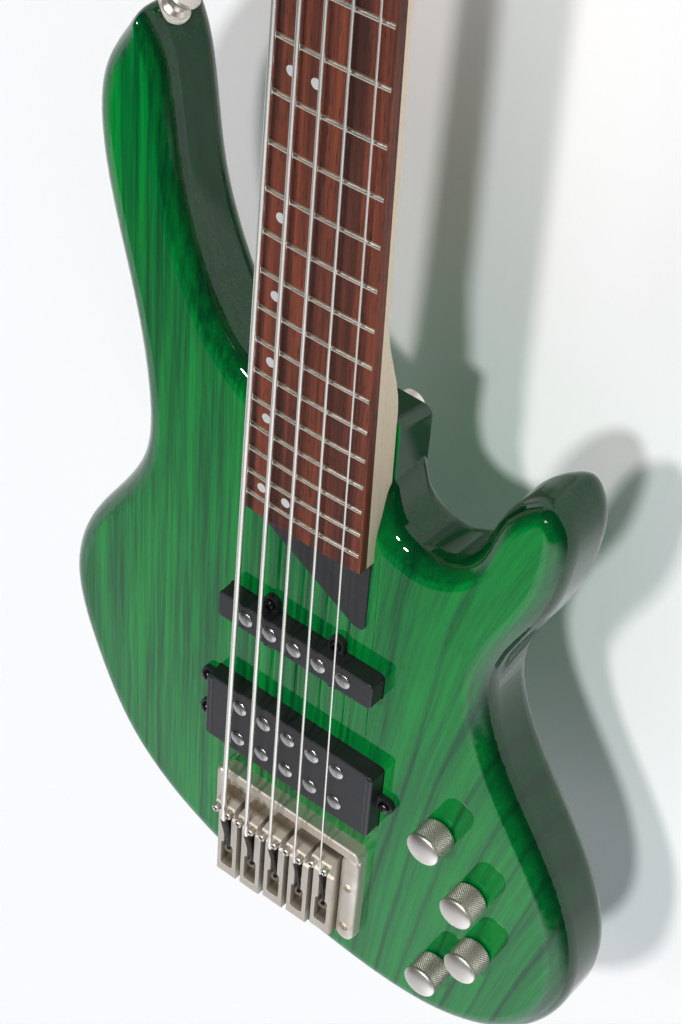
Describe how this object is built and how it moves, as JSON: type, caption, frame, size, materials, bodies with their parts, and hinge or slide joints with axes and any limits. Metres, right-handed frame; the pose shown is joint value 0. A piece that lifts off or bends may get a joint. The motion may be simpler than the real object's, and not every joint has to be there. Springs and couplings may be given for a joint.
{
  "type": "electric bass guitar",
  "caption": "Solid-body electric bass guitar with a bolt-on neck, worm-gear tuners, sliding bridge saddles, turning control knobs and an edge-mounted output jack.",
  "frame": {"origin": "on the flat back of the body, on the centre line of the strings, under the theoretical end of the scale", "axes": "+X to the treble side, +Y along the neck to the headstock, +Z out of the face"},
  "size_m": [0.3239, 1.1428, 0.0584],
  "materials": {
    "stained_ash": "gloss clear coat over green stain",
    "maple": "satin oil",
    "rosewood": "oiled",
    "nickel_silver": "polished",
    "pearl": "pearl",
    "pale_composite": "satin",
    "plain_steel": "plain",
    "satin_nickel": "satin",
    "dark_steel": "black oxide",
    "black_plastic": "matte",
    "pole_steel": "dull",
    "copper_wire": "enamelled",
    "pale_felt": "felt",
    "string_steel": "wound nickel"
  },
  "bodies": {
    "instrument": {"body": "stained_ash", "neck": "maple", "fretboard": "rosewood", "frets": "nickel_silver", "position_dots": "pearl", "nut": "pale_composite", "truss_rod": "plain_steel", "fingerboard_end_plate": "black_plastic", "neck_bolts": "plain_steel", "neck_ferrules": "satin_nickel", "bridge_base": "satin_nickel", "bridge_screws": "dark_steel", "neck_pickup_cover": "black_plastic", "neck_pickup_poles": "pole_steel", "neck_pickup_coil": "copper_wire", "bridge_pickup_cover": "black_plastic", "bridge_pickup_poles": "pole_steel", "bridge_pickup_coil": "copper_wire", "pickup_screws": "dark_steel", "pots": "plain_steel", "pot_nuts": "plain_steel", "output_jack": "satin_nickel", "control_cover": "black_plastic", "control_cover_screws": "dark_steel", "strap_buttons": "satin_nickel", "strap_washers": "pale_felt", "strap_button_screws": "plain_steel", "tuner_plates": "satin_nickel", "tuner_bushings": "satin_nickel", "headstock_screws": "satin_nickel", "string_retainer": "satin_nickel", "string_b": "string_steel", "string_e": "string_steel", "string_a": "string_steel", "string_d": "string_steel", "string_g": "string_steel"},
    "tuner_key_b": {"tuner_key_b": "satin_nickel"},
    "tuner_post_b": {"tuner_post_b": "satin_nickel"},
    "tuner_key_e": {"tuner_key_e": "satin_nickel"},
    "tuner_post_e": {"tuner_post_e": "satin_nickel"},
    "tuner_key_a": {"tuner_key_a": "satin_nickel"},
    "tuner_post_a": {"tuner_post_a": "satin_nickel"},
    "tuner_key_d": {"tuner_key_d": "satin_nickel"},
    "tuner_post_d": {"tuner_post_d": "satin_nickel"},
    "tuner_key_g": {"tuner_key_g": "satin_nickel"},
    "tuner_post_g": {"tuner_post_g": "satin_nickel"},
    "saddle_b": {"saddle_b": "satin_nickel"},
    "saddle_e": {"saddle_e": "satin_nickel"},
    "saddle_a": {"saddle_a": "satin_nickel"},
    "saddle_d": {"saddle_d": "satin_nickel"},
    "saddle_g": {"saddle_g": "satin_nickel"},
    "knob_1": {"knob_1": "satin_nickel", "pot_shaft_1": "plain_steel"},
    "knob_2": {"knob_2": "satin_nickel", "pot_shaft_2": "plain_steel"},
    "knob_3": {"knob_3": "satin_nickel", "pot_shaft_3": "plain_steel"},
    "knob_4": {"knob_4": "satin_nickel", "pot_shaft_4": "plain_steel"}
  },
  "joints": [
    {"name": "turn_key_b", "type": "hinge", "parent": "instrument", "child": "tuner_key_b", "pos_m": [-0.028, 0.9121, 0.0191], "axis": [-1, 0, 0], "continuous": true},
    {"name": "turn_post_b", "type": "hinge", "parent": "instrument", "child": "tuner_post_b", "pos_m": [-0.028, 0.9256, 0.0191], "axis": [0, 0, 1], "continuous": true},
    {"name": "turn_key_e", "type": "hinge", "parent": "instrument", "child": "tuner_key_e", "pos_m": [-0.0265, 0.9541, 0.0191], "axis": [-1, 0, 0], "continuous": true},
    {"name": "turn_post_e", "type": "hinge", "parent": "instrument", "child": "tuner_post_e", "pos_m": [-0.0265, 0.9676, 0.0191], "axis": [0, 0, 1], "continuous": true},
    {"name": "turn_key_a", "type": "hinge", "parent": "instrument", "child": "tuner_key_a", "pos_m": [-0.025, 0.9961, 0.0191], "axis": [-1, 0, 0], "continuous": true},
    {"name": "turn_post_a", "type": "hinge", "parent": "instrument", "child": "tuner_post_a", "pos_m": [-0.025, 1.0096, 0.0191], "axis": [0, 0, 1], "continuous": true},
    {"name": "turn_key_d", "type": "hinge", "parent": "instrument", "child": "tuner_key_d", "pos_m": [0.0265, 0.9811, 0.0191], "axis": [1, 0, 0], "continuous": true},
    {"name": "turn_post_d", "type": "hinge", "parent": "instrument", "child": "tuner_post_d", "pos_m": [0.0265, 0.9676, 0.0191], "axis": [0, 0, 1], "continuous": true},
    {"name": "turn_key_g", "type": "hinge", "parent": "instrument", "child": "tuner_key_g", "pos_m": [0.028, 0.9391, 0.0191], "axis": [1, 0, 0], "continuous": true},
    {"name": "turn_post_g", "type": "hinge", "parent": "instrument", "child": "tuner_post_g", "pos_m": [0.028, 0.9256, 0.0191], "axis": [0, 0, 1], "continuous": true},
    {"name": "slide_saddle_b", "type": "slide", "parent": "instrument", "child": "saddle_b", "axis": [0, 1, 0], "range_m": [-0.0015, 0.008]},
    {"name": "slide_saddle_e", "type": "slide", "parent": "instrument", "child": "saddle_e", "axis": [0, 1, 0], "range_m": [-0.0015, 0.0075]},
    {"name": "slide_saddle_a", "type": "slide", "parent": "instrument", "child": "saddle_a", "axis": [0, 1, 0], "range_m": [-0.0015, 0.006]},
    {"name": "slide_saddle_d", "type": "slide", "parent": "instrument", "child": "saddle_d", "axis": [0, 1, 0], "range_m": [-0.0015, 0.0045]},
    {"name": "slide_saddle_g", "type": "slide", "parent": "instrument", "child": "saddle_g", "axis": [0, 1, 0], "range_m": [-0.0015, 0.0028]},
    {"name": "turn_knob_1", "type": "hinge", "parent": "instrument", "child": "knob_1", "pos_m": [0.0885, 0.059, 0.045], "axis": [0, 0, 1], "range_deg": [-150, 150]},
    {"name": "turn_knob_2", "type": "hinge", "parent": "instrument", "child": "knob_2", "pos_m": [0.1115, 0.029, 0.045], "axis": [0, 0, 1], "range_deg": [-150, 150]},
    {"name": "turn_knob_3", "type": "hinge", "parent": "instrument", "child": "knob_3", "pos_m": [0.1185, -0.009, 0.045], "axis": [0, 0, 1], "range_deg": [-150, 150]},
    {"name": "turn_knob_4", "type": "hinge", "parent": "instrument", "child": "knob_4", "pos_m": [0.097, -0.04, 0.045], "axis": [0, 0, 1], "range_deg": [-150, 150]}
  ],
  "couplings": [
    {"joint": "turn_post_b", "follows": "turn_key_b", "ratio": 0.05},
    {"joint": "turn_post_e", "follows": "turn_key_e", "ratio": 0.05},
    {"joint": "turn_post_a", "follows": "turn_key_a", "ratio": 0.05},
    {"joint": "turn_post_d", "follows": "turn_key_d", "ratio": 0.05},
    {"joint": "turn_post_g", "follows": "turn_key_g", "ratio": 0.05}
  ]
}
